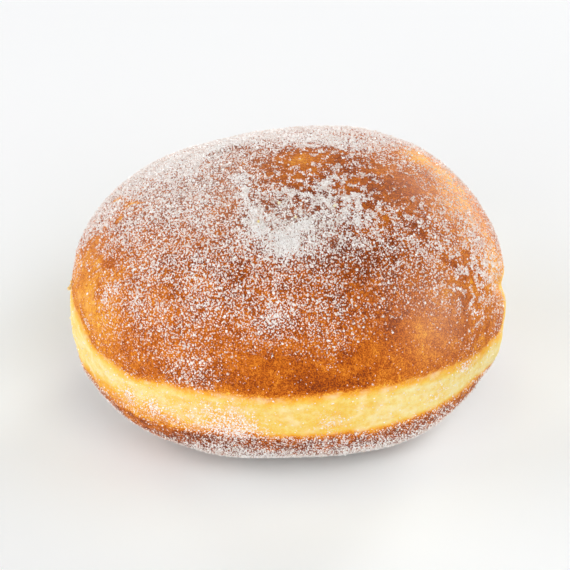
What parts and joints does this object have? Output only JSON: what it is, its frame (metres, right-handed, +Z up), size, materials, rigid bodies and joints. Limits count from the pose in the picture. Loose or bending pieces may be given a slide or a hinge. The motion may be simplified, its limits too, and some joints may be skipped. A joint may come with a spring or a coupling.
{
  "type": "sugared filled doughnut",
  "caption": "Round, uncut filled doughnut: browned fried crust over a soft pale belt, coated in fine white sugar, resting on its flat underside.",
  "frame": {"origin": "under the middle of the doughnut's bounding box, on the surface that it rests on", "axes": "+Z up through the crown; +X along the longest width, to the right of someone facing the front; -Y is the front"},
  "size_m": [0.09, 0.086, 0.051],
  "materials": {
    "crust": "matte fried dough: orange-brown crust above, pale cream-yellow belt, darker brown crust below",
    "sugar": "loose white sugar grains, translucent, softly glinting"
  },
  "bodies": {
    "root": {"doughnut": "crust"}
  },
  "joints": []
}
